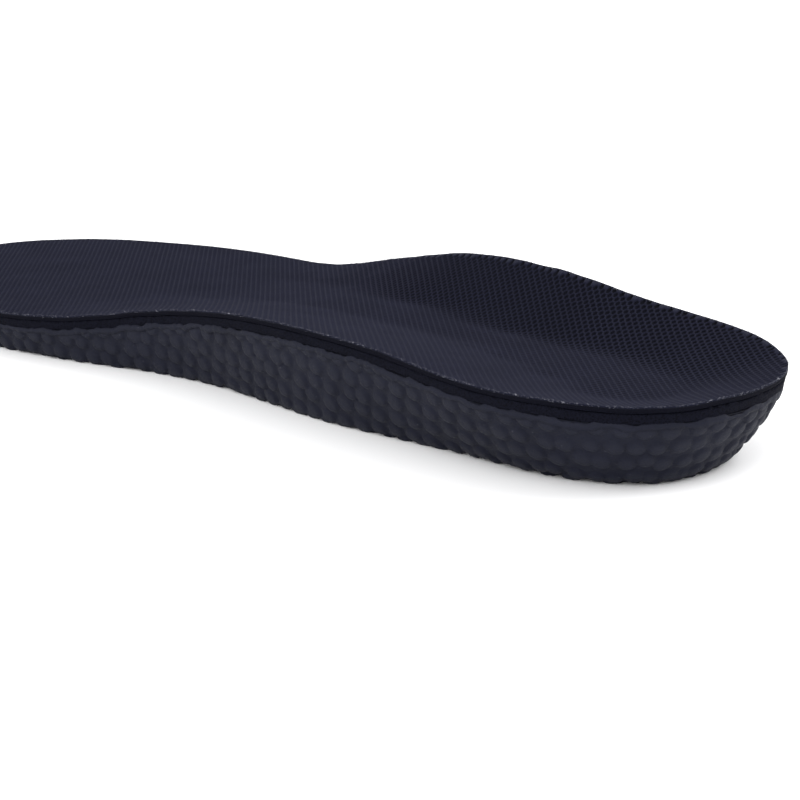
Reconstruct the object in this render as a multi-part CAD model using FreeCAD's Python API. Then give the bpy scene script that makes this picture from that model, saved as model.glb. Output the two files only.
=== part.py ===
import FreeCAD, Part

import math
import os

from FreeCAD import Vector

# Cushioned insole for a right foot, as the stack of bonded layers it is made of.
#
# Millimetres. +X points to the toe, +Y to the medial (arch) side, +Z up. The origin is the middle of the
# underside: the centre of the bounding box in X and Y, and the plane the insole rests on in Z.
# Every layer is cut from one moulded envelope by the same footbed surface, lowered layer by layer, so the
# layers always meet face to face.

# ---- overall sizes -------------------------------------------------------------------------------
LENGTH = 268.0            # heel back to toe tip, along the rim
HEEL_WIDTH = 67.0         # across the rim at the heel
BALL_WIDTH = 90.0         # across the rim at the ball of the foot

# ---- layers, from the top down -------------------------------------------------------------------
CLOTH_THICKNESS = 1.0     # knitted mesh top cover
WEB_THICKNESS = 0.2       # hot-melt web that bonds the cover to the foam
FOAM_THICKNESS = 2.3      # open-cell foam sheet
FILM_THICKNESS = 0.2      # adhesive film that bonds the foam to the base

# ---- heights of the top surface above the ground, before the heel's lift ----------------------------
BED_HEEL = 11.2           # heel bed, inside the cup
BED_ARCH = 11.6           # midfoot
BED_BALL = 9.0            # ball of the foot and toes
RIM_HEEL_BACK = 15.8      # rim at the very back of the heel
RIM_MEDIAL = 19.8         # highest point of the arch-side flange
RIM_LATERAL = 22.3        # highest point of the outer flange
RIM_TOE = 9.0             # rim round the forefoot
HEEL_LIFT = 3.0           # added to all of them at the heel's back, fading evenly to nothing at the toe

# ---- widths of the slopes that climb from the bed to the rim --------------------------------------
SLOPE_HEEL_BACK = 20.0
SLOPE_MEDIAL = 38.0       # broad: this slope is the arch support
SLOPE_LATERAL = 17.0
SLOPE_SHAPE = 1.12        # 1 is a straight slope; more makes it hollow, steeper at the rim

# ---- wall of the base ------------------------------------------------------------------------------
INSET_HEEL = 11.0         # how far the underside's edge lies inside the rim round the heel: a bowl
INSET_ARCH = 6.4          # the same beside the arch
INSET_BALL = 3.5          # the same round the forefoot
TRIM_CLEARANCE = 6.0      # how far the envelope runs on above the highest rim before it is trimmed

# ---- accuracy of the free-form surfaces -------------------------------------------------------------
GRID_STEP = 4.5           # spacing of the footbed's control grid
GRID_MARGIN = 12.0        # how far that grid runs past the rim
WALL_PANELS = 8           # panels round the wall
PANEL_POINTS = 6          # points along each panel, for each section of the wall

# Outline of the rim seen from above: share of the length from the heel, and share of the half width
# (medial side positive). Half widths run from the heel's to the ball's.
MEDIAL_OUTLINE = [(0.035, 0.66), (0.11, 0.95), (0.22, 1.00), (0.33, 1.01), (0.43, 0.92),
                  (0.53, 0.84), (0.635, 0.92), (0.745, 1.01), (0.855, 0.89), (0.95, 0.53)]
LATERAL_OUTLINE = [(0.965, 0.44), (0.87, 0.78), (0.745, 0.97), (0.635, 1.00), (0.53, 1.04),
                   (0.43, 1.08), (0.33, 1.07), (0.22, 1.00), (0.11, 0.97), (0.035, 0.70)]
HEEL_CENTRE_SHARE = -0.03     # the heel's back and the toe's tip lie a little off the long axis
TOE_CENTRE_SHARE = 0.08
WIDTH_CHANGE = (0.30, 0.72)   # the half width grows from the heel's to the ball's over this stretch

# Rim height along each side: share of the length, and share of the rise from the toe's rim to the peak.
MEDIAL_RISE = [(0.0, 0.0), (0.035, 0.02), (0.11, 0.36), (0.22, 0.85), (0.33, 1.0), (0.43, 0.91),
               (0.53, 0.59), (0.635, 0.16), (0.745, 0.02), (0.86, 0.0), (1.0, 0.0)]
LATERAL_RISE = [(0.0, 0.0), (0.035, 0.07), (0.11, 0.41), (0.22, 0.85), (0.33, 1.0), (0.43, 0.89),
                (0.53, 0.50), (0.635, 0.07), (0.745, 0.0), (0.86, 0.0), (1.0, 0.0)]

# Section of the wall: share of the rim height, and share of the inset left there.
WALL_SECTION = [(0.0, 1.06), (0.08, 0.88), (0.28, 0.59), (0.54, 0.285), (0.78, 0.085), (1.0, 0.0)]


def smooth_step(value):
    """Runs from 0 to 1 with level ends as the value runs from 0 to 1."""
    t = min(1.0, max(0.0, value))
    return t * t * (3 - 2 * t)


def between(points, share):
    """A smooth reading between the (share, value) points of a side, level at every point it turns at."""
    if share <= points[0][0]:
        return points[0][1]
    for (x0, y0), (x1, y1) in zip(points, points[1:]):
        if share <= x1:
            index = points.index((x0, y0))
            before = points[max(0, index - 1)]
            after = points[min(len(points) - 1, index + 2)]
            slope0 = (y1 - before[1]) / (x1 - before[0])
            slope1 = (after[1] - y0) / (after[0] - x0)
            width = x1 - x0
            t = (share - x0) / width
            return ((2 * t ** 3 - 3 * t ** 2 + 1) * y0 + (t ** 3 - 2 * t ** 2 + t) * width * slope0
                    + (3 * t ** 2 - 2 * t ** 3) * y1 + (t ** 3 - t ** 2) * width * slope1)
    return points[-1][1]


def half_width(share):
    """Half the nominal width at a share of the length."""
    blend = smooth_step((share - WIDTH_CHANGE[0]) / (WIDTH_CHANGE[1] - WIDTH_CHANGE[0]))
    return (HEEL_WIDTH + (BALL_WIDTH - HEEL_WIDTH) * blend) / 2


def outline_points():
    """The rim's outline as plan points, from the heel's back round the medial side."""
    points = [(0.0, HEEL_CENTRE_SHARE * half_width(0))]
    points += [(s * LENGTH, w * half_width(s)) for s, w in MEDIAL_OUTLINE]
    points += [(LENGTH, TOE_CENTRE_SHARE * half_width(1))]
    points += [(s * LENGTH, -w * half_width(s)) for s, w in LATERAL_OUTLINE]
    return points


def closed_curve(points, parameters=None):
    """A smooth closed curve through the points."""
    curve = Part.BSplineCurve()
    if parameters is None:
        curve.interpolate(Points=points, PeriodicFlag=True)
    else:
        curve.interpolate(Points=points, PeriodicFlag=True, Parameters=parameters)
    return curve


def wall_inset(share):
    """How far the underside's edge lies inside the rim at a share of the length."""
    to_arch = smooth_step((share - 0.15) / 0.20)
    to_ball = smooth_step((share - 0.45) / 0.20)
    heel_and_arch = INSET_HEEL + (INSET_ARCH - INSET_HEEL) * to_arch
    return heel_and_arch + (INSET_BALL - heel_and_arch) * to_ball


def rim_height(share, side):
    """Height of the rim at a share of the length; side runs from -1 (lateral) to 1 (medial)."""
    medial = RIM_TOE + (RIM_MEDIAL - RIM_TOE) * between(MEDIAL_RISE, share)
    lateral = RIM_TOE + (RIM_LATERAL - RIM_TOE) * between(LATERAL_RISE, share)
    sides = lateral + (medial - lateral) * (side + 1) / 2
    back = (RIM_HEEL_BACK - RIM_TOE) * (1 - smooth_step(share / 0.22))
    return sides + back + HEEL_LIFT * (1 - share)


def slope_width(share, side):
    """Width of the slope between the bed and the rim, on the lateral (-1) or the medial (1) side."""
    if side < 0:
        return SLOPE_HEEL_BACK + (SLOPE_LATERAL - SLOPE_HEEL_BACK) * smooth_step(share / 0.22)
    return SLOPE_HEEL_BACK + (SLOPE_MEDIAL - SLOPE_HEEL_BACK) * smooth_step(share / 0.34)


def bed_height(share):
    """Height of the middle of the bed at a share of the length."""
    to_arch = smooth_step((share - 0.20) / 0.22)
    to_ball = smooth_step((share - 0.45) / 0.20)
    heel_and_arch = BED_HEEL + (BED_ARCH - BED_HEEL) * to_arch
    return heel_and_arch + (BED_BALL - heel_and_arch) * to_ball + HEEL_LIFT * (1 - share)


class Rim:
    """The rim's outline, sampled all round from the heel's back."""

    def __init__(self, count):
        self.curve = closed_curve([Vector(x, y, 0) for x, y in outline_points()])
        self.first = self.curve.FirstParameter
        self.last = self.curve.LastParameter
        self.parameters = [self.first + (self.last - self.first) * i / count for i in range(count)]
        self.samples = []
        for u in self.parameters:
            p = self.curve.value(u)
            tangent = self.curve.tangent(u)[0]
            inward = Vector(tangent.y, -tangent.x, 0)
            share = min(1.0, max(0.0, p.x / LENGTH))
            side = max(-1.0, min(1.0, p.y / (0.5 * half_width(share))))
            self.samples.append((p, inward, share, rim_height(share, side)))
        toe = max(range(count), key=lambda i: self.samples[i][0].x)
        self.flanks = {1: self.samples[:toe + 1], -1: self.samples[toe:] + self.samples[:1]}

    def nearest(self, x, y, side):
        """The sample of one side nearest a plan point, and its distance, negative outside the rim."""
        best, best_d2 = None, 1e18
        for sample in self.flanks[side]:
            d2 = (sample[0].x - x) ** 2 + (sample[0].y - y) ** 2
            if d2 < best_d2:
                best, best_d2 = sample, d2
        p, inward = best[0], best[1]
        inside = (x - p.x) * inward.x + (y - p.y) * inward.y >= 0
        return best, math.sqrt(best_d2) if inside else -math.sqrt(best_d2)


def footbed_height(rim, x, y):
    """Height of the top of the insole over a plan point; outside the rim the slope just runs on."""
    bed = bed_height(min(1.0, max(0.0, x / LENGTH)))
    highest = bed
    for side in (-1, 1):
        (point, inward, share, height), distance = rim.nearest(x, y, side)
        across = 1 - distance / slope_width(share, side)
        climb = max(0.0, across) ** SLOPE_SHAPE if across < 1 else 1 + SLOPE_SHAPE * (across - 1)
        highest = max(highest, bed + (height - bed) * climb)
    return highest


def footbed_surface(rim, drop):
    """The footbed surface lowered by drop, over a rectangle a little larger than the insole."""
    low_x, high_x = -GRID_MARGIN, LENGTH + GRID_MARGIN
    widest = max(abs(y) for x, y in outline_points()) + GRID_MARGIN
    columns = int(math.ceil((high_x - low_x) / GRID_STEP))
    rows = int(math.ceil(2 * widest / GRID_STEP))
    grid = []
    for i in range(columns + 1):
        x = low_x + (high_x - low_x) * i / columns
        line = []
        for j in range(rows + 1):
            y = -widest + 2 * widest * j / rows
            line.append(Vector(x, y, footbed_height(rim, x, y) - drop))
        grid.append(line)
    surface = Part.BSplineSurface()
    surface.interpolate(grid)
    return surface.toShape()


def section(rim, points):
    """One closed section of the wall, in as many edges as the wall has panels."""
    curve = closed_curve(points, rim.parameters + [rim.last])
    edges = []
    for panel in range(WALL_PANELS):
        start = rim.first + (rim.last - rim.first) * panel / WALL_PANELS
        end = rim.first + (rim.last - rim.first) * (panel + 1) / WALL_PANELS
        edges.append(curve.toShape(start, end))
    return Part.Wire(edges)


def envelope(rim):
    """The moulded outside shape, as a solid that runs on above the rim."""
    sections = []
    for z_share, inset_share in WALL_SECTION:
        points = []
        for p, inward, share, height in rim.samples:
            inset = wall_inset(share) * inset_share
            points.append(p + inward * inset + Vector(0, 0, height * z_share))
        sections.append(section(rim, points))
    top = max(sample[3] for sample in rim.samples) + TRIM_CLEARANCE
    sections.append(section(rim, [sample[0] + Vector(0, 0, top) for sample in rim.samples]))
    return Part.makeLoft(sections, True, False)


def layers():
    """The five layers as solids, by name, in the order they are stacked from the ground up."""
    rim = Rim(WALL_PANELS * PANEL_POINTS)
    fine_rim = Rim(10 * WALL_PANELS * PANEL_POINTS)
    body = envelope(rim)
    drops = [0.0, CLOTH_THICKNESS]
    drops.append(drops[-1] + WEB_THICKNESS)
    drops.append(drops[-1] + FOAM_THICKNESS)
    drops.append(drops[-1] + FILM_THICKNESS)
    cuts = [footbed_surface(fine_rim, drop) for drop in drops]
    pieces, _ = body.generalFuse(cuts)
    names = ["bead_foam_base", "base_adhesive_film", "foam_layer", "cloth_adhesive_web", "top_cloth"]
    solids = sorted(pieces.Solids, key=lambda s: max(v.Z for v in s.Vertexes))
    return dict(zip(names, solids))


def main():
    """Builds the layers, centres them on the origin and writes one STEP file each."""
    os.makedirs("parts", exist_ok=True)
    made = layers()
    box = FreeCAD.BoundBox()
    for shape in made.values():
        box.add(shape.optimalBoundingBox(False))
    shift = Vector(-(box.XMin + box.XMax) / 2, -(box.YMin + box.YMax) / 2, -box.ZMin)
    for name, shape in made.items():
        placed = shape.copy()
        placed.translate(shift)
        print(name, placed.isValid(), round(placed.Volume, 1), placed.optimalBoundingBox(False))
        placed.exportStep(os.path.join("parts", name + ".step"))


main()
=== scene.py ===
import logging
import math
import random
from dataclasses import dataclass, field
from enum import Enum
from typing import Sequence

import bmesh
import bpy
import numpy as np
from mathutils import Matrix, Vector, noise
from mathutils.bvhtree import BVHTree
from mathutils.kdtree import KDTree


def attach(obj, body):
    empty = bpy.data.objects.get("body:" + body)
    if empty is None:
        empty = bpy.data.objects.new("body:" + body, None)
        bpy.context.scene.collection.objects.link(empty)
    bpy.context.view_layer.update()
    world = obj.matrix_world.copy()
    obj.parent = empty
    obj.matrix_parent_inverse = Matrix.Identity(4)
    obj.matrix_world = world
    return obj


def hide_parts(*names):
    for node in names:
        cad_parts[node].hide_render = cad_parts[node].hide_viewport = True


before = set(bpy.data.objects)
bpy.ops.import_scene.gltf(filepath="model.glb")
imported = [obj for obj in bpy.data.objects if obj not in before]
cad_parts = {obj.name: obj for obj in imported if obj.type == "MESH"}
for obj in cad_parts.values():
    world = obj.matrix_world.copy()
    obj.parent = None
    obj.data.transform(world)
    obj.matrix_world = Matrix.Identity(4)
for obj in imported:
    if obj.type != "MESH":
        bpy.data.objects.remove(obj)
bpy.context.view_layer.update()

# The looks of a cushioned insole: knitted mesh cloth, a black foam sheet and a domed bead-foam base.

MM = 0.001
BODY = "root"
LOG = logging.getLogger("insole")
EDGE_STEP = 0.4 * MM        # spacing of the samples along an edge line
FLAT_SLOPE = 0.6            # a face with at least this upward share belongs to a layer's top
EDGE_TURN = 0.45            # least change of slope across a layer's upper edge
MERGE_DISTANCE = 1e-6       # loose CAD triangles share their corners within this, in metres

Colour = tuple[float, float, float, float]


class Layer(Enum):
    """The CAD nodes, by what they are."""

    BASE = "bead_foam_base"
    FILM = "base_adhesive_film"
    FOAM = "foam_layer"
    WEB = "cloth_adhesive_web"
    CLOTH = "top_cloth"


class Slot(Enum):
    """The record's material slots."""

    BASE = "bead_foam"
    FILM = "adhesive_film"
    FOAM = "soft_foam"
    WEB = "adhesive_web"
    CLOTH = "mesh_cloth"


# ---------------------------------------------------------------------------------------------------
# Shader bench
# ---------------------------------------------------------------------------------------------------


class Bench:
    """Lays out the nodes of one material."""

    def __init__(self, name: str) -> None:
        """Starts a material with a Principled shader.

        Args:
            name: The material's name.
        """
        self.material = bpy.data.materials.new(name)
        self.material.use_nodes = True
        self.tree = self.material.node_tree
        self.shader = self.tree.nodes["Principled BSDF"]
        self.place = self.tree.nodes.new("ShaderNodeTexCoord").outputs["Object"]

    def node(self, kind: str, **settings: object) -> bpy.types.Node:
        """Adds a node.

        Args:
            kind: The node's type name.
            settings: Properties to set on it.

        Returns:
            The new node.
        """
        made = self.tree.nodes.new(kind)
        for key, value in settings.items():
            setattr(made, key, value)
        return made

    def feed(self, socket: bpy.types.NodeSocket, value: object) -> None:
        """Links an output, or sets a constant, on an input socket.

        Args:
            socket: The input.
            value: An output to link, or a constant.
        """
        if isinstance(value, bpy.types.NodeSocket):
            self.tree.links.new(value, socket)
        else:
            socket.default_value = value

    def mapped(self, scale: Sequence[float], turn: float = 0.0) -> bpy.types.NodeSocket:
        """Object coordinates, turned about Z and scaled.

        Args:
            scale: Scale along each axis.
            turn: Turn about Z, in radians.

        Returns:
            The mapped vector.
        """
        made = self.node("ShaderNodeMapping")
        self.feed(made.inputs["Vector"], self.place)
        made.inputs["Scale"].default_value = scale
        made.inputs["Rotation"].default_value = (0.0, 0.0, turn)
        return made.outputs["Vector"]

    def noise(self, size: float, detail: float = 2.0, vector: object = None) -> bpy.types.NodeSocket:
        """A noise pattern.

        Args:
            size: Size of its largest grains, in metres.
            detail: Octaves of finer grain.
            vector: Coordinates; the object's own where left out.

        Returns:
            The pattern's value.
        """
        made = self.node("ShaderNodeTexNoise")
        self.feed(made.inputs["Vector"], self.place if vector is None else vector)
        made.inputs["Scale"].default_value = 1.0 / size
        made.inputs["Detail"].default_value = detail
        return made.outputs["Fac"]

    def cells(self, size: float, output: str = "Distance", feature: str = "F1") -> bpy.types.NodeSocket:
        """A cell pattern.

        Args:
            size: Size of a cell, in metres.
            output: Which output to read.
            feature: Which distance is measured.

        Returns:
            The chosen output.
        """
        made = self.node("ShaderNodeTexVoronoi", feature=feature)
        self.feed(made.inputs["Vector"], self.place)
        made.inputs["Scale"].default_value = 1.0 / size
        return made.outputs[output]

    def sum(self, first: object, second: object, operation: str = "ADD") -> bpy.types.NodeSocket:
        """Combines two values with a maths operation.

        Args:
            first: First value.
            second: Second value.
            operation: The operation's name.

        Returns:
            The result.
        """
        made = self.node("ShaderNodeMath", operation=operation)
        self.feed(made.inputs[0], first)
        self.feed(made.inputs[1], second)
        return made.outputs[0]

    def ramp(self, value: object, low: float, high: float,
             start: float = 0.0, end: float = 1.0) -> bpy.types.NodeSocket:
        """Maps a range of values to another, clamped.

        Args:
            value: The value read.
            low: Value that gives start.
            high: Value that gives end.
            start: First result.
            end: Last result.

        Returns:
            The mapped value.
        """
        made = self.node("ShaderNodeMapRange")
        self.feed(made.inputs["Value"], value)
        for name, number in (("From Min", low), ("From Max", high), ("To Min", start), ("To Max", end)):
            made.inputs[name].default_value = number
        return made.outputs["Result"]

    def blend(self, factor: object, first: object, second: object) -> bpy.types.NodeSocket:
        """Mixes two colours by a factor.

        Args:
            factor: Share of the second colour.
            first: Colour at 0.
            second: Colour at 1.

        Returns:
            The mixed colour.
        """
        made = self.node("ShaderNodeMix", data_type="RGBA")
        self.feed(made.inputs["Factor"], factor)
        self.feed(made.inputs[6], first)
        self.feed(made.inputs[7], second)
        return made.outputs[2]

    def bump(self, height: object, distance: float, strength: float = 1.0,
             under: object = None) -> bpy.types.NodeSocket:
        """A bump from a height pattern.

        Args:
            height: The pattern.
            distance: Height of the pattern's full range, in metres.
            strength: Share of the bump that is used.
            under: A normal that this bump is laid over.

        Returns:
            The bumped normal.
        """
        made = self.node("ShaderNodeBump")
        made.inputs["Distance"].default_value = distance
        made.inputs["Strength"].default_value = strength
        self.feed(made.inputs["Height"], height)
        if under is not None:
            self.feed(made.inputs["Normal"], under)
        return made.outputs["Normal"]

    def attribute(self, name: str) -> bpy.types.NodeSocket:
        """The value of one of the piece's own attributes."""
        made = self.node("ShaderNodeAttribute", attribute_name=name)
        return made.outputs["Fac"]

    def finish(self, colour: object, roughness: object, normal: object = None) -> bpy.types.Material:
        """Feeds the shader and hands the material over.

        Args:
            colour: Base colour.
            roughness: Roughness.
            normal: Bumped normal, if there is one.

        Returns:
            The material.
        """
        self.feed(self.shader.inputs["Base Color"], colour)
        self.feed(self.shader.inputs["Roughness"], roughness)
        if normal is not None:
            self.feed(self.shader.inputs["Normal"], normal)
        return self.material


# ---------------------------------------------------------------------------------------------------
# Finishes
# ---------------------------------------------------------------------------------------------------


@dataclass(frozen=True)
class ClothFinish:
    """Knitted polyester mesh: matte blue-black yarn, with fine fibres along it."""

    yarn: Colour = (0.0040, 0.0044, 0.0108, 1.0)
    yarn_light: Colour = (0.0120, 0.0130, 0.0285, 1.0)
    # Painted shade: the colour the yarn darkens to down the hole walls and on the turned-down hem.
    painted_hole_shade: Colour = (0.0014, 0.0015, 0.0036, 1.0)
    fibre_size: float = 0.14 * MM
    roughness: float = 0.85

    def material(self) -> bpy.types.Material:
        """Builds the material; it reads a per-vertex attribute set in TopCloth.face, 1 on the crest of the
        yarn and 0 down in the holes and on the hem, where it paints shade.

        Returns:
            The material.
        """
        bench = Bench("mesh_cloth")
        strands = bench.noise(self.fibre_size, 3.0, bench.mapped((1.0, 0.3, 1.0), 0.6))
        patch = bench.noise(12 * MM, 3.0)
        light = bench.sum(bench.ramp(strands, 0.35, 0.75), bench.ramp(patch, 0.3, 0.7, 0.6, 1.0), "MULTIPLY")
        yarn = bench.blend(light, self.yarn, self.yarn_light)
        # Painted shade: the yarn darkens towards the hole floors and the hem's lower edge.
        colour = bench.blend(bench.ramp(bench.attribute("crest_unshaded"), 0.0, 0.8), self.painted_hole_shade, yarn)
        normal = bench.bump(strands, 0.08 * MM, 0.8)
        bench.shader.inputs["Sheen Weight"].default_value = 0.02
        bench.shader.inputs["Sheen Roughness"].default_value = 0.5
        bench.shader.inputs["Sheen Tint"].default_value = (0.6, 0.62, 0.8, 1.0)
        bench.shader.inputs["Specular IOR Level"].default_value = 0.08
        roughness = bench.ramp(strands, 0.2, 0.8, self.roughness - 0.1, self.roughness + 0.08)
        return bench.finish(colour, roughness, normal)


@dataclass(frozen=True)
class BackingFinish:
    """The close-knit back of the cloth, seen through the holes and along the cut edge."""

    colour: Colour = (0.0012, 0.0013, 0.0032, 1.0)
    loop: Colour = (0.0030, 0.0032, 0.0070, 1.0)

    def material(self) -> bpy.types.Material:
        """Builds the material.

        Returns:
            The material.
        """
        bench = Bench("cloth_back")
        loops = bench.ramp(bench.cells(0.35 * MM), 0.1, 0.6)
        fluff = bench.noise(0.2 * MM, 3.0)
        colour = bench.blend(bench.sum(loops, fluff, "MULTIPLY"), self.loop, self.colour)
        bench.shader.inputs["Specular IOR Level"].default_value = 0.06
        return bench.finish(colour, 0.92, bench.bump(loops, 0.10 * MM, 0.8))


@dataclass(frozen=True)
class FibreFinish:
    """The cut ends of the cloth's yarn, a few of them painted pale as glints where they catch the light."""

    colour: Colour = (0.060, 0.062, 0.085, 1.0)
    # Painted glint: the pale colour of the few fibres that catch the light.
    tip: Colour = (0.38, 0.38, 0.43, 1.0)

    def material(self) -> bpy.types.Material:
        """Builds the material: a few of the fibres are painted much paler than the rest, as glints.

        Returns:
            The material.
        """
        bench = Bench("cut_yarn")
        # Painted glints: noise picks the few fibres that take the pale glint colour.
        glint_share = bench.ramp(bench.noise(1.1 * MM, 1.0), 0.58, 0.72)
        bench.shader.inputs["Specular IOR Level"].default_value = 0.4
        return bench.finish(bench.blend(glint_share, self.colour, self.tip), 0.5)


@dataclass(frozen=True)
class FoamFinish:
    """Black open-cell foam, as its cut edge shows it: a matte, crumbly grain."""

    wall: Colour = (0.0036, 0.0039, 0.0082, 1.0)
    pore: Colour = (0.0006, 0.0006, 0.0015, 1.0)
    pore_size: float = 0.45 * MM

    def material(self) -> bpy.types.Material:
        """Builds the material.

        Returns:
            The material.
        """
        bench = Bench("soft_foam")
        pores = bench.cells(self.pore_size)
        grain = bench.noise(0.25 * MM, 4.0)
        depth = bench.sum(bench.ramp(pores, 0.05, 0.55), bench.ramp(grain, 0.3, 0.7, 0.0, 0.6), "ADD")
        colour = bench.blend(bench.ramp(depth, 0.2, 1.3), self.pore, self.wall)
        normal = bench.bump(depth, 0.12 * MM, 1.0)
        bench.shader.inputs["Specular IOR Level"].default_value = 0.06
        return bench.finish(colour, 0.95, normal)


@dataclass(frozen=True)
class BeadFinish:
    """Moulded bead foam: dark grey skin with a fine matte grain, painted highlights on the dome lips and
    painted glints for its faint sparkle.
    """

    skin: Colour = (0.0062, 0.0071, 0.0150, 1.0)
    skin_light: Colour = (0.0094, 0.0105, 0.0205, 1.0)
    groove: Colour = (0.0030, 0.0035, 0.0080, 1.0)
    # Painted highlight on the proud lips of the domes.
    lip_highlight: Colour = (0.0135, 0.0147, 0.0255, 1.0)
    # Painted glints: the colour of the bright specks of the sparkle.
    glint: Colour = (0.10, 0.10, 0.12, 1.0)
    grain_size: float = 0.22 * MM

    def material(self, name: str = "bead_foam") -> bpy.types.Material:
        """Builds the material; it reads the attribute `dome`, from 0 in a groove to 1 on a dome's lip, and
        paints a highlight on the lips.

        Args:
            name: The material's name.

        Returns:
            The material.
        """
        bench = Bench(name)
        grain = bench.noise(self.grain_size, 4.0)
        cloud = bench.noise(9 * MM, 3.0)
        dome = bench.attribute("dome")
        body = bench.blend(bench.ramp(cloud, 0.3, 0.7), self.skin, self.skin_light)
        # Painted highlight: the dome lips are lightened towards the highlight colour.
        lip_lit = bench.blend(bench.ramp(dome, 0.62, 1.0, 0.0, 0.75), body, self.lip_highlight)
        worn = bench.blend(bench.ramp(grain, 0.30, 0.72, 0.3, 1.0), self.groove, lip_lit)
        # Painted glints: a few small cells are lightened to the glint colour.
        glint_specks = bench.ramp(bench.cells(0.45 * MM, "Color"), 0.88, 0.97)
        fine = bench.ramp(bench.cells(0.45 * MM), 0.30, 0.12)
        colour = bench.blend(bench.sum(glint_specks, fine, "MULTIPLY"), worn, self.glint)
        pits = bench.bump(bench.ramp(bench.cells(0.8 * MM), 0.0, 0.5), 0.05 * MM, 0.6)
        normal = bench.bump(grain, 0.10 * MM, 0.9, pits)
        bench.shader.inputs["Specular IOR Level"].default_value = 0.12
        return bench.finish(colour, bench.ramp(grain, 0.3, 0.7, 0.50, 0.78), normal)


@dataclass(frozen=True)
class GlueFinish:
    """Dried contact adhesive in the joint of the foam and the base."""

    colour: Colour = (0.0040, 0.0044, 0.0090, 1.0)
    scuffed: Colour = (0.0080, 0.0086, 0.0150, 1.0)

    def material(self) -> bpy.types.Material:
        """Builds the material.

        Returns:
            The material.
        """
        bench = Bench("dried_glue")
        scuff = bench.noise(0.9 * MM, 4.0)
        normal = bench.bump(scuff, 0.20 * MM, 0.8)
        colour = bench.blend(bench.ramp(scuff, 0.45, 0.75), self.colour, self.scuffed)
        bench.shader.inputs["Specular IOR Level"].default_value = 0.1
        return bench.finish(colour, bench.ramp(scuff, 0.3, 0.7, 0.60, 0.80), normal)


@dataclass(frozen=True)
class WebFinish:
    """Hot-melt web: thin black threads of adhesive."""

    colour: Colour = (0.0026, 0.0028, 0.0062, 1.0)
    thread: Colour = (0.0042, 0.0045, 0.0095, 1.0)

    def material(self) -> bpy.types.Material:
        """Builds the material.

        Returns:
            The material.
        """
        bench = Bench("adhesive_web")
        net = bench.ramp(bench.cells(0.7 * MM, feature="DISTANCE_TO_EDGE"), 0.02, 0.12)
        normal = bench.bump(net, 0.05 * MM, 0.8)
        bench.shader.inputs["Specular IOR Level"].default_value = 0.05
        return bench.finish(bench.blend(net, self.thread, self.colour), 0.9, normal)


@dataclass(frozen=True)
class FloorFinish:
    """White seamless paper."""

    colour: Colour = (0.88, 0.88, 0.885, 1.0)

    def material(self) -> bpy.types.Material:
        """Builds the material.

        Returns:
            The material.
        """
        bench = Bench("studio_paper")
        tooth = bench.noise(2.0 * MM, 3.0)
        bench.shader.inputs["Specular IOR Level"].default_value = 0.2
        return bench.finish(self.colour, 0.6, bench.bump(tooth, 0.01 * MM, 0.2))


# ---------------------------------------------------------------------------------------------------
# Reading the CAD layers
# ---------------------------------------------------------------------------------------------------


def merged_copy(layer: Layer) -> bmesh.types.BMesh:
    """A bmesh of one CAD layer with its loose triangles joined.

    Args:
        layer: The layer.

    Returns:
        The bmesh, for the caller to free.
    """
    bm = bmesh.new()
    bm.from_mesh(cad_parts[layer.value].data)
    bmesh.ops.remove_doubles(bm, verts=bm.verts, dist=MERGE_DISTANCE)
    return bm


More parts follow.
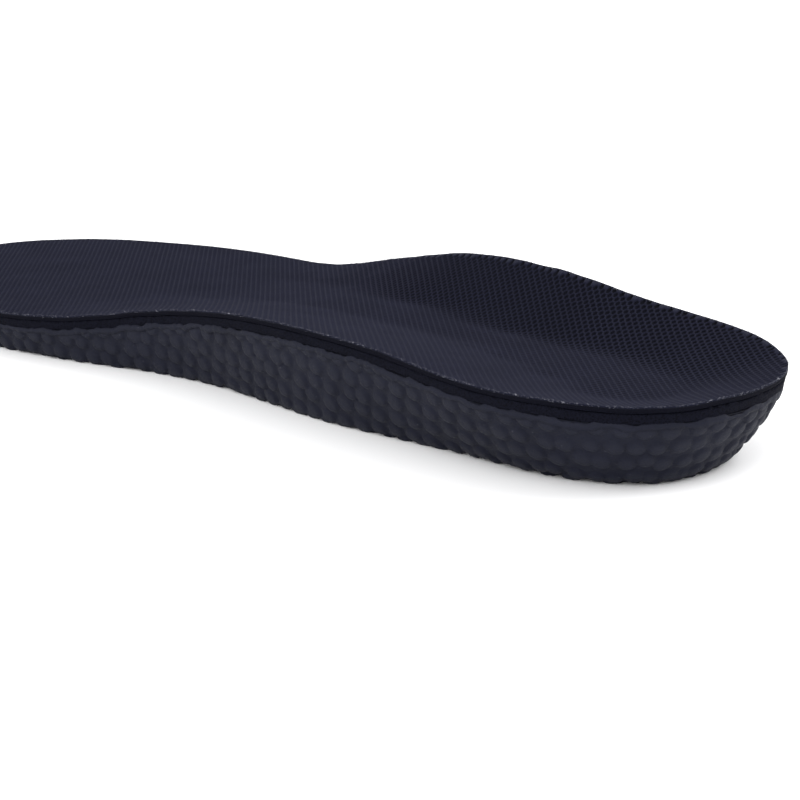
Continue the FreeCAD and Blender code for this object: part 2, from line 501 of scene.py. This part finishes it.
@dataclass
class EdgeLine:
    """A closed line round one edge of a layer, evenly sampled."""

    points: np.ndarray
    outward: np.ndarray
    tree: KDTree = field(init=False)

    def __post_init__(self) -> None:
        """Indexes the samples by their place in plan."""
        self.tree = KDTree(len(self.points))
        for i, p in enumerate(self.points):
            self.tree.insert((p[0], p[1], 0.0), i)
        self.tree.balance()

    @property
    def step(self) -> float:
        """Distance between neighbouring samples."""
        return float(np.linalg.norm(self.points[1] - self.points[0]))

    def nearest(self, x: float, y: float) -> int:
        """Index of the sample nearest a place in plan."""
        return self.tree.find((x, y, 0.0))[1]

    @classmethod
    def of(cls, layer: Layer) -> "EdgeLine":
        """Finds the line where a layer's top meets its side wall.

        Args:
            layer: The layer.

        Returns:
            The sampled line, running anticlockwise seen from above.
        """
        bm = merged_copy(layer)
        links: dict[int, list[int]] = {}
        for edge in bm.edges:
            if len(edge.link_faces) != 2:
                continue
            slopes = sorted(f.normal.z for f in edge.link_faces)
            if slopes[1] > FLAT_SLOPE and slopes[1] - slopes[0] > EDGE_TURN:
                a, b = (v.index for v in edge.verts)
                links.setdefault(a, []).append(b)
                links.setdefault(b, []).append(a)
        bm.verts.ensure_lookup_table()
        best: list[int] = []
        left = set(links)
        while left:
            start = left.pop()
            loop, previous, here = [start], -1, start
            while True:
                onward = [n for n in links[here] if n != previous and (n in left or n == start)]
                if not onward or (onward[0] == start and len(loop) > 2):
                    break
                previous, here = here, onward[0]
                left.discard(here)
                loop.append(here)
            best = loop if len(loop) > len(best) else best
        line = np.array([bm.verts[i].co[:] for i in best])
        bm.free()
        return cls.resampled(line)

    @classmethod
    def resampled(cls, line: np.ndarray) -> "EdgeLine":
        """Samples a closed polyline evenly, anticlockwise, and works out which way is outward.

        Args:
            line: The polyline's corners.

        Returns:
            The sampled line.
        """
        area = 0.5 * np.sum(line[:, 0] * np.roll(line[:, 1], -1) - np.roll(line[:, 0], -1) * line[:, 1])
        if area < 0:
            line = line[::-1]
        line = np.roll(line, -int(np.argmin(line[:, 0])), axis=0)
        closed = np.vstack([line, line[:1]])
        run = np.r_[0.0, np.cumsum(np.linalg.norm(np.diff(closed, axis=0), axis=1))]
        count = int(round(run[-1] / EDGE_STEP))
        at = np.linspace(0.0, run[-1], count, endpoint=False)
        points = np.stack([np.interp(at, run, closed[:, k]) for k in range(3)], axis=1)
        tangent = np.roll(points, -3, axis=0) - np.roll(points, 3, axis=0)
        outward = np.stack([tangent[:, 1], -tangent[:, 0], np.zeros(count)], axis=1)
        outward /= np.linalg.norm(outward, axis=1)[:, None]
        return cls(points, outward)


def skin_tree(layer: Layer) -> BVHTree:
    """A search tree over one CAD layer's surface.

    Args:
        layer: The layer.

    Returns:
        The tree.
    """
    bm = merged_copy(layer)
    tree = BVHTree.FromBMesh(bm)
    bm.free()
    return tree


def wavy(place: Sequence[float], size: float, seed: float) -> float:
    """Smooth noise from about -1 to 1 at a place, with features of a given size."""
    return noise.noise(Vector((place[0] / size + seed, place[1] / size - seed, place[2] / size + 3.7 * seed)))


# ---------------------------------------------------------------------------------------------------
# Pieces
# ---------------------------------------------------------------------------------------------------


def settle(obj: bpy.types.Object, material: bpy.types.Material) -> bpy.types.Object:
    """Gives a finished piece its material and the body it rides on.

    Args:
        obj: The piece.
        material: Its material.

    Returns:
        The same piece.
    """
    obj.data.materials.clear()
    obj.data.materials.append(material)
    obj.data.shade_smooth()
    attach(obj, BODY)
    faces = sum(len(p.vertices) - 2 for p in obj.data.polygons)
    LOG.info("%s: %d triangles", obj.name, faces)
    return obj


def placed(name: str, mesh: bpy.types.Mesh) -> bpy.types.Object:
    """Links a mesh into the scene as a piece at the origin.

    Args:
        name: The piece's name.
        mesh: Its mesh.

    Returns:
        The piece.
    """
    obj = bpy.data.objects.new(name, mesh)
    bpy.context.scene.collection.objects.link(obj)
    return obj


def baked(obj: bpy.types.Object) -> bpy.types.Object:
    """Applies a piece's modifiers to its mesh.

    Args:
        obj: The piece.

    Returns:
        The same piece.
    """
    bpy.context.view_layer.update()
    graph = bpy.context.evaluated_depsgraph_get()
    mesh = bpy.data.meshes.new_from_object(obj.evaluated_get(graph))
    obj.modifiers.clear()
    old = obj.data
    obj.data = mesh
    bpy.data.meshes.remove(old)
    return obj


def tube_from(curve: bpy.types.Curve) -> bpy.types.Object:
    """Makes a mesh piece of a curve and its bevel, under the curve's name.

    Args:
        curve: The curve.

    Returns:
        The piece.
    """
    name = curve.name
    source = bpy.data.objects.new(name, curve)
    bpy.context.scene.collection.objects.link(source)
    bpy.context.view_layer.update()
    graph = bpy.context.evaluated_depsgraph_get()
    mesh = bpy.data.meshes.new_from_object(source.evaluated_get(graph))
    bpy.data.objects.remove(source)
    return placed(name, mesh)


def block_from(layer: Layer, name: str, voxel: float) -> bpy.types.Object:
    """An evenly meshed copy of a CAD layer.

    Args:
        layer: The layer.
        name: The new piece's name.
        voxel: Size of its faces, in metres.

    Returns:
        The piece.
    """
    bm = merged_copy(layer)
    mesh = bpy.data.meshes.new(name)
    bm.to_mesh(mesh)
    bm.free()
    obj = placed(name, mesh)
    remesh = obj.modifiers.new("even", "REMESH")
    remesh.mode = "VOXEL"
    remesh.voxel_size = voxel
    return baked(obj)


def shape_of(obj: bpy.types.Object) -> tuple[np.ndarray, np.ndarray]:
    """Places and normals of a piece's vertices.

    Args:
        obj: The piece.

    Returns:
        The places and the normals, one row per vertex.
    """
    count = len(obj.data.vertices)
    places = np.empty(count * 3, np.float32)
    obj.data.vertices.foreach_get("co", places)
    normals = np.empty(count * 3, np.float32)
    obj.data.vertex_normals.foreach_get("vector", normals)
    return places.reshape(-1, 3).astype(float), normals.reshape(-1, 3).astype(float)


def reshape(obj: bpy.types.Object, places: np.ndarray) -> None:
    """Moves a piece's vertices to new places."""
    obj.data.vertices.foreach_set("co", places.astype(np.float32).ravel())
    obj.data.update()


def mark(obj: bpy.types.Object, name: str, values: np.ndarray) -> None:
    """Stores one number per vertex on a piece, for its material to read."""
    made = obj.data.attributes.new(name, "FLOAT", "POINT")
    made.data.foreach_set("value", values.astype(np.float32))


def thin_out(obj: bpy.types.Object, hidden: np.ndarray, ratio: float) -> bpy.types.Object:
    """Makes the hidden part of a piece coarse, and keeps the rest.

    Args:
        obj: The piece.
        hidden: For each vertex, whether it is hidden between layers.
        ratio: Share of the piece's faces that stay.

    Returns:
        The same piece.
    """
    group = obj.vertex_groups.new(name="hidden")
    group.add([int(i) for i in np.nonzero(hidden)[0]], 1.0, "REPLACE")
    decimate = obj.modifiers.new("thin", "DECIMATE")
    decimate.ratio = ratio
    decimate.vertex_group = "hidden"
    decimate.vertex_group_factor = 1.0
    baked(obj)
    obj.vertex_groups.clear()
    return obj


@dataclass
class TopCloth:
    """The knitted mesh cover: an open face of staggered holes over a close-knit back."""

    pitch: float = 1.42 * MM
    back_pitch: float = 2.4 * MM
    wale_angle: float = -39.0
    thickness: float = 1.0 * MM
    face_depth: float = 0.42 * MM
    yarn_width: float = 0.32 * MM
    least_side: float = 0.42
    most_stretch: float = 16.0
    ripple: float = 0.10 * MM
    ripple_size: float = 11 * MM
    ring_depth_share: float = 0.8
    finish: ClothFinish = ClothFinish()
    back_finish: BackingFinish = BackingFinish()

    def repeat(self, bm: bmesh.types.BMesh, count: int, step: Vector) -> None:
        """Doubles all of a bmesh along a step until it holds at least a number of copies.

        Args:
            bm: The bmesh.
            count: Least number of copies.
            step: Distance from one copy to the next.
        """
        have = 1
        while have < count:
            made = bmesh.ops.duplicate(bm, geom=bm.faces[:])
            moved = [g for g in made["geom"] if isinstance(g, bmesh.types.BMVert)]
            bmesh.ops.translate(bm, verts=moved, vec=step * have)
            have *= 2

    def lattice(self, rim: EdgeLine, pitch: float) -> bmesh.types.BMesh:
        """A flat sheet of hexagons that covers the outline, turned to the cloth's wale.

        Args:
            rim: The cloth's cut edge.
            pitch: Distance between the middles of neighbouring hexagons.

        Returns:
            The sheet.
        """
        turn = Matrix.Rotation(math.radians(self.wale_angle), 3, "Z")
        along = rim.points @ np.array(turn)
        low, high = along.min(0), along.max(0)
        bm = bmesh.new()
        radius = pitch / math.sqrt(3.0)
        bmesh.ops.create_circle(bm, cap_ends=True, radius=radius, segments=6)
        self.repeat(bm, int((high[0] - low[0]) / pitch) + 3, Vector((pitch, 0, 0)))
        made = bmesh.ops.duplicate(bm, geom=bm.faces[:])
        moved = [g for g in made["geom"] if isinstance(g, bmesh.types.BMVert)]
        bmesh.ops.translate(bm, verts=moved, vec=Vector((pitch / 2, 1.5 * radius, 0)))
        self.repeat(bm, int((high[1] - low[1]) / (3.0 * radius)) + 2, Vector((0, 3.0 * radius, 0)))
        bmesh.ops.remove_doubles(bm, verts=bm.verts, dist=0.05 * pitch)
        bmesh.ops.translate(bm, verts=bm.verts, vec=Vector((low[0] - pitch, low[1] - radius, 0)))
        bmesh.ops.rotate(bm, verts=bm.verts, cent=(0, 0, 0), matrix=turn)
        return bm

    def draped(self, rim: EdgeLine, skin: BVHTree, pitch: float, drop: float) -> bmesh.types.BMesh:
        """A sheet of hexagons cut to the outline and laid on the footbed.

        Args:
            rim: The cloth's cut edge.
            skin: The cloth layer's surface.
            pitch: Distance between hexagons.
            drop: How far below the cloth's top it lies.

        Returns:
            The sheet.
        """
        bm = self.lattice(rim, pitch)
        above, down = Vector((0, 0, 0.1)), Vector((0, 0, -1))
        outside = [f for f in bm.faces if skin.ray_cast(f.calc_center_median() + above, down)[0] is None]
        bmesh.ops.delete(bm, geom=outside, context="FACES")
        cut = {v for v in bm.verts if any(e.is_boundary for e in v.link_edges)}
        for v in bm.verts:
            hit = skin.ray_cast(v.co + above, down)[0]
            if v in cut or hit is None:
                v.co = Vector(rim.points[rim.nearest(v.co.x, v.co.y)])
            else:
                v.co.z = hit.z
            v.co.z += self.ripple * wavy(v.co, self.ripple_size, 1.7) - drop
        return bm

    def skirt(self, bm: bmesh.types.BMesh, drop: float) -> list[bmesh.types.BMVert]:
        """Turns the sheet's edge down.

        Args:
            bm: The sheet.
            drop: How far its edge is turned down.

        Returns:
            The new lower points.
        """
        edges = [e for e in bm.edges if e.is_boundary]
        made = bmesh.ops.extrude_edge_only(bm, edges=edges)
        lower = [g for g in made["geom"] if isinstance(g, bmesh.types.BMVert)]
        bmesh.ops.translate(bm, verts=lower, vec=Vector((0, 0, -drop)))
        return lower

    def face(self, rim: EdgeLine, skin: BVHTree) -> bpy.types.Object:
        """Knits the open face: each hexagon becomes a ring of yarn round a hole.

        Args:
            rim: The cloth's cut edge.
            skin: The cloth layer's surface.

        Returns:
            The face.
        """
        bm = self.draped(rim, skin, self.pitch, 0.0)
        bmesh.ops.recalc_face_normals(bm, faces=bm.faces)
        shortest = self.least_side * self.pitch
        rings = [f for f in bm.faces if min(e.calc_length() for e in f.edges) > shortest
                 and f.calc_perimeter() ** 2 < self.most_stretch * f.calc_area()]
        hem = self.skirt(bm, self.face_depth)
        bmesh.ops.inset_individual(bm, faces=rings, thickness=self.yarn_width,
                                   depth=-self.ring_depth_share * self.face_depth, use_even_offset=True)
        low = {v for f in rings for v in f.verts}
        bmesh.ops.delete(bm, geom=rings, context="FACES_ONLY")
        bm.verts.index_update()
        # The hole floors and the hem's lower edge are marked for painted shade in the cloth material.
        painted_hole_shade = {v.index for v in low if v.is_valid} | {v.index for v in hem}
        mesh = bpy.data.meshes.new("knitted_mesh_face")
        bm.to_mesh(mesh)
        bm.free()
        obj = placed("knitted_mesh_face", mesh)
        mark(obj, "crest_unshaded", np.array([0.0 if i in painted_hole_shade else 1.0 for i in range(len(mesh.vertices))]))
        settle(obj, self.finish.material())
        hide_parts(Layer.CLOTH.value)
        return obj

    def back(self, rim: EdgeLine, skin: BVHTree) -> bpy.types.Object:
        """Knits the close back of the cloth, a thin closed sheet under the open face.

        Args:
            rim: The cloth's cut edge.
            skin: The cloth layer's surface.

        Returns:
            The back.
        """
        bm = self.draped(rim, skin, self.back_pitch, self.face_depth)
        made = bmesh.ops.extrude_face_region(bm, geom=bm.faces[:], use_keep_orig=True)
        lower = [g for g in made["geom"] if isinstance(g, bmesh.types.BMVert)]
        bmesh.ops.translate(bm, verts=lower, vec=Vector((0, 0, self.face_depth - self.thickness)))
        bmesh.ops.recalc_face_normals(bm, faces=bm.faces)
        mesh = bpy.data.meshes.new("close_knit_back")
        bm.to_mesh(mesh)
        bm.free()
        obj = placed("close_knit_back", mesh)
        settle(obj, self.back_finish.material())
        return obj


@dataclass
class CutFibres:
    """Yarn ends that stand out of the cloth's cut edge."""

    spacing: float = 0.22 * MM
    length: float = 0.50 * MM
    radius: float = 0.048 * MM
    rooted: float = 0.12 * MM
    seed: int = 11
    finish: FibreFinish = FibreFinish()

    def build(self, rim: EdgeLine) -> bpy.types.Object:
        """Grows the fibres along the rim.

        Args:
            rim: The cloth's cut edge.

        Returns:
            The fibres, as one piece.
        """
        rng = random.Random(self.seed)
        curve = bpy.data.curves.new("cut_yarn_ends", "CURVE")
        curve.dimensions = "3D"
        curve.bevel_depth = self.radius
        curve.bevel_resolution = 0
        curve.use_fill_caps = True
        count = int(len(rim.points) * rim.step / self.spacing)
        for _ in range(count):
            i = rng.randrange(len(rim.points))
            out = Vector(rim.outward[i])
            along = Vector((-out.y, out.x, 0.0))
            root = Vector(rim.points[i]) + Vector((0, 0, -rng.uniform(0.0, 0.35) * MM)) - out * self.rooted
            reach = self.length * rng.uniform(0.35, 1.0)
            way = out * rng.uniform(0.2, 0.8) + along * rng.uniform(-1.0, 1.0)
            way += Vector((0, 0, rng.uniform(-0.1, 0.9)))
            way.normalize()
            curl = Vector((rng.uniform(-1, 1), rng.uniform(-1, 1), rng.uniform(-0.5, 0.8))) * 0.35 * reach
            spline = curve.splines.new("POLY")
            spline.points.add(2)
            for k, share in enumerate((0.0, 0.55, 1.0)):
                place = root + way * reach * share + curl * share * share
                spline.points[k].co = (*place, 1.0)
                spline.points[k].radius = 1.0 - 0.6 * share
        return settle(tube_from(curve), self.finish.material())


@dataclass
class FoamSheet:
    """The black foam sheet, of which only the cut edge shows."""

    voxel: float = 0.5 * MM
    crumb: float = 0.07 * MM
    crumb_size: float = 0.9 * MM
    wander: float = 0.16 * MM
    wander_size: float = 6 * MM
    inset: float = 0.02 * MM
    wall_slope: float = 0.62
    kept_share: float = 0.16
    finish: FoamFinish = FoamFinish()

    def build(self) -> bpy.types.Object:
        """Cuts the sheet out and roughens its edge.

        Returns:
            The sheet.
        """
        obj = block_from(Layer.FOAM, "foam_sheet", self.voxel)
        places, normals = shape_of(obj)
        wall = np.abs(normals[:, 2]) < self.wall_slope
        for i in np.nonzero(wall)[0]:
            p = places[i]
            crumbs = self.crumb * wavy(p, self.crumb_size, 4.2)
            waves = self.wander * wavy(p, self.wander_size, 8.8)
            places[i] = p + normals[i] * (crumbs + waves - self.inset)
        reshape(obj, places)
        thin_out(obj, ~wall, self.kept_share)
        settle(obj, self.finish.material())
        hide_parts(Layer.FOAM.value)
        return obj


@dataclass
class BeadBase:
    """The moulded base: shallow domes side by side over its wall and its underside."""

    voxel: float = 0.5 * MM
    dome_pitch: float = 4.8 * MM
    row_height: float = 3.9 * MM
    first_row: float = 1.9 * MM
    dome_radius: float = 2.05 * MM
    dome_rise: float = 0.66 * MM
    lip_share: float = 0.40
    sink: float = 0.28 * MM
    plain_strip: float = 1.0 * MM
    rim_clearance: float = 3.4 * MM
    lane_share: float = 0.88
    size_spread: float = 0.12
    grain: float = 0.05 * MM
    grain_size: float = 1.6 * MM
    top_slope: float = 0.5
    kept_share: float = 0.62
    seed: int = 5
    finish: BeadFinish = BeadFinish()

    def beads(self, joint: EdgeLine, skin: BVHTree) -> np.ndarray:
        """Centres and sizes of the domes.

        Args:
            joint: The base's upper edge.
            skin: The base layer's surface.

        Returns:
            One row per dome: its place and its radius.
        """
        rng = random.Random(self.seed)
        smallest, largest = 1.0 - self.size_spread, 1.0 + self.size_spread
        found = []
        perimeter = len(joint.points) * joint.step
        top = joint.points[:, 2].max()
        row = 0
        height = self.first_row
        while height < top:
            count = int(perimeter / self.dome_pitch)
            for k in range(count):
                at = (k + 0.5 * (row % 2) + rng.uniform(-0.16, 0.16)) / count
                i = int(at * len(joint.points)) % len(joint.points)
                z = height + rng.uniform(-0.14, 0.14) * self.row_height
                if z > joint.points[i][2] + 0.3 * self.row_height:
                    continue
                out = Vector(joint.outward[i])
                start = Vector(joint.points[i]) + out * 0.02
                start.z = min(z, joint.points[i][2] - 0.3 * MM)
                hit = skin.ray_cast(start, -out)[0]
                if hit is not None:
                    found.append((*hit, self.dome_radius * rng.uniform(smallest, largest)))
            row += 1
            height += self.row_height
        low, high = joint.points.min(0), joint.points.max(0)
        lane, y = 0, low[1]
        while y < high[1]:
            x = low[0] + self.dome_pitch * 0.5 * (lane % 2)
            while x < high[0]:
                px = x + rng.uniform(-0.14, 0.14) * self.dome_pitch
                py = y + rng.uniform(-0.14, 0.14) * self.dome_pitch
                i = joint.nearest(px, py)
                gap = float(np.dot(joint.points[i][:2] - np.array((px, py)), joint.outward[i][:2]))
                if gap > self.rim_clearance:
                    found.append((px, py, 0.0, self.dome_radius * rng.uniform(smallest, largest)))
                x += self.dome_pitch
            lane += 1
            y += self.dome_pitch * self.lane_share
        return np.array(found)

    def relief(self, places: np.ndarray, normals: np.ndarray, beads: np.ndarray) -> np.ndarray:
        """Height of the domes over each place, from 0 between them to 1 on the lip of one.

        On the wall a dome is a shallow scale: flush with the wall at its top, proud at its lower lip.

        Args:
            places: Vertices.
            normals: Their normals.
            beads: Domes.

        Returns:
            The relief.
        """
        relief = np.zeros(len(places))
        upright = np.clip(1.0 - np.abs(normals[:, 2]) * 1.15, 0.0, 1.0)
        block = 4000
        for start in range(0, len(places), block):
            part = slice(start, start + block)
            away = places[part][:, None, :] - beads[None, :, :3]
            span = np.linalg.norm(away, axis=2) / beads[None, :, 3]
            bulge = np.sqrt(np.clip(1.0 - span ** 3, 0.0, 1.0))
            droop = np.clip(0.5 - 0.5 * away[:, :, 2] / beads[None, :, 3], 0.0, 1.0)
            lean = self.lip_share * upright[part][:, None]
            relief[part] = np.max(bulge * (1.0 - lean + lean * droop), axis=1)
        return relief

    def build(self, joint: EdgeLine, skin: BVHTree) -> bpy.types.Object:
        """Moulds the base.

        Args:
            joint: The base's upper edge.
            skin: The base layer's surface.

        Returns:
            The base.
        """
        obj = block_from(Layer.BASE, "bead_foam_base_moulded", self.voxel)
        places, normals = shape_of(obj)
        below = np.array([joint.points[joint.nearest(p[0], p[1])][2] - p[2] for p in places])
        hidden = normals[:, 2] > self.top_slope
        relief = self.relief(places, normals, self.beads(joint, skin))
        fade = np.clip(below / self.plain_strip, 0.0, 1.0)
        push = (self.dome_rise * relief - self.sink) * fade
        grain = np.array([self.grain * wavy(p, self.grain_size, 2.4) for p in places])
        push = np.where(hidden, 0.0, push + grain)
        places = places + normals * push[:, None]
        places[:, 2] = np.maximum(places[:, 2], 0.0)
        reshape(obj, places)
        # The relief also sets where the material paints highlights on the dome lips.
        mark(obj, "dome", relief * fade)
        thin_out(obj, hidden, self.kept_share)
        settle(obj, self.finish.material())
        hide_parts(Layer.BASE.value)
        return obj


@dataclass
class RolledSkin:
    """The moulded skin that creeps unevenly up the foam's edge."""

    radius: float = 0.95 * MM
    flatness: float = 0.30
    wander: float = 0.55 * MM
    drop: float = 0.25 * MM
    sunk: float = 0.06 * MM
    widest: float = 1.35
    narrowest: float = 0.30
    finish: BeadFinish = BeadFinish()

    def build(self, joint: EdgeLine) -> bpy.types.Object:
        """Runs the skin's edge round the joint.

        Args:
            joint: The base's upper edge.

        Returns:
            The rolled edge.
        """
        curve = bpy.data.curves.new("rolled_skin_edge", "CURVE")
        curve.dimensions = "3D"
        curve.bevel_depth = self.radius
        curve.bevel_resolution = 1
        spline = curve.splines.new("POLY")
        spline.use_cyclic_u = True
        centres = []
        for p, out in zip(joint.points, joint.outward):
            lift = self.wander * (1.3 * wavy(p, 5.5 * MM, 0.6) + 0.55 * wavy(p, 1.9 * MM, 5.1)) - self.drop
            centres.append(p + np.array((0, 0, lift)) - out * self.sunk)
        spline.points.add(len(centres) - 1)
        for k, c in enumerate(centres):
            size = 0.80 + 0.45 * wavy(c, 3.4 * MM, 6.6) + 0.30 * wavy(c, 1.2 * MM, 9.3)
            spline.points[k].co = (*c, 1.0)
            spline.points[k].radius = min(self.widest, max(self.narrowest, size))
        obj = tube_from(curve)
        places, _ = shape_of(obj)
        for k, p in enumerate(places):
            i = joint.nearest(p[0], p[1])
            out = joint.outward[i]
            proud = float(np.dot(p - joint.points[i], out))
            places[k] = p + out * ((self.flatness - 1.0) * proud + 0.06 * MM * wavy(p, 0.9 * MM, 3.1))
        reshape(obj, places)
        mark(obj, "dome", np.full(len(places), 0.3))
        return settle(obj, self.finish.material("rolled_skin"))


# ---------------------------------------------------------------------------------------------------
# Studio
# ---------------------------------------------------------------------------------------------------


@dataclass
class Studio:
    """White paper, soft lights and the camera."""

    floor_size: float = 6.0
    camera_place: tuple[float, float, float] = (-0.3549, 0.2865, 0.1212)
    heading: float = 132.11
    pitch: float = 16.08
    roll: float = 1.08
    lens: float = 89.8
    room_light: float = 1.28

    def floor(self) -> None:
        """Lays the paper."""
        bm = bmesh.new()
        bmesh.ops.create_grid(bm, x_segments=8, y_segments=8, size=self.floor_size / 2)
        mesh = bpy.data.meshes.new("studio_floor")
        bm.to_mesh(mesh)
        bm.free()
        obj = placed("studio_floor", mesh)
        obj.data.materials.append(FloorFinish().material())

    def lamp(self, name: str, place: Sequence[float], size: float, power: float) -> None:
        """Hangs one soft light, aimed at the insole.

        Args:
            name: Its name.
            place: Where it hangs, in metres.
            size: Width of its panel.
            power: Its power in watts.
        """
        data = bpy.data.lights.new(name, "AREA")
        data.shape = "SQUARE"
        data.size = size
        data.energy = power
        obj = bpy.data.objects.new(name, data)
        bpy.context.scene.collection.objects.link(obj)
        obj.location = place
        obj.rotation_euler = (-Vector(place)).to_track_quat("-Z", "Y").to_euler()

    def sky(self, strength: float) -> None:
        """Fills the room with even white light.

        Args:
            strength: Brightness of the light.
        """
        world = bpy.data.worlds.new("studio_room")
        world.use_nodes = True
        world.node_tree.nodes["Background"].inputs["Color"].default_value = (1.0, 1.0, 1.0, 1.0)
        world.node_tree.nodes["Background"].inputs["Strength"].default_value = strength
        bpy.context.scene.world = world

    def camera(self) -> None:
        """Sets up the camera."""
        turn, tip, lean = (math.radians(v) for v in (self.heading, self.pitch, self.roll))
        ahead = Vector((math.sin(turn) * math.cos(tip), math.cos(turn) * math.cos(tip), -math.sin(tip)))
        right = ahead.cross(Vector((0, 0, 1))).normalized()
        up = right.cross(ahead)
        across = right * math.cos(lean) - up * math.sin(lean)
        upward = right * math.sin(lean) + up * math.cos(lean)
        data = bpy.data.cameras.new("studio_view")
        data.sensor_width = 36.0
        data.lens = self.lens
        data.clip_start = 0.01
        obj = bpy.data.objects.new("studio_view", data)
        bpy.context.scene.collection.objects.link(obj)
        matrix = Matrix((across, upward, -ahead)).transposed().to_4x4()
        matrix.translation = Vector(self.camera_place)
        obj.matrix_world = matrix
        bpy.context.scene.camera = obj

    def build(self) -> None:
        """Sets up the whole studio."""
        self.floor()
        self.sky(self.room_light)
        self.lamp("key_softbox", (-0.60, -0.80, 0.75), 0.9, 12.0)
        self.lamp("front_softbox", (-0.25, 0.95, 0.90), 1.2, 12.0)
        self.camera()
        bpy.context.scene.view_settings.view_transform = "Standard"


def dress_carried_nodes() -> None:
    """Gives the two adhesive layers that stay as they are in CAD their finishes."""
    for layer, finish in ((Layer.FILM, GlueFinish()), (Layer.WEB, WebFinish())):
        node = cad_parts[layer.value]
        node.data.materials.clear()
        node.data.materials.append(finish.material())


def main() -> None:
    """Builds the insole and its studio, and reports each piece."""
    logging.basicConfig(level=logging.INFO, format="%(name)s: %(message)s")
    Studio().build()
    rim = EdgeLine.of(Layer.CLOTH)
    LOG.info("rim of %d samples, %.1f mm round", len(rim.points), len(rim.points) * rim.step / MM)
    joint = EdgeLine.of(Layer.BASE)
    LOG.info("joint of %d samples, %.1f mm round", len(joint.points), len(joint.points) * joint.step / MM)
    BeadBase().build(joint, skin_tree(Layer.BASE))
    foam = FoamSheet().build()
    RolledSkin().build(joint)
    cover, skin = TopCloth(), skin_tree(Layer.CLOTH)
    back = cover.back(rim, skin)
    face = cover.face(rim, skin)
    fibres = CutFibres().build(rim)
    dress_carried_nodes()


if __name__ == "__main__":
    main()
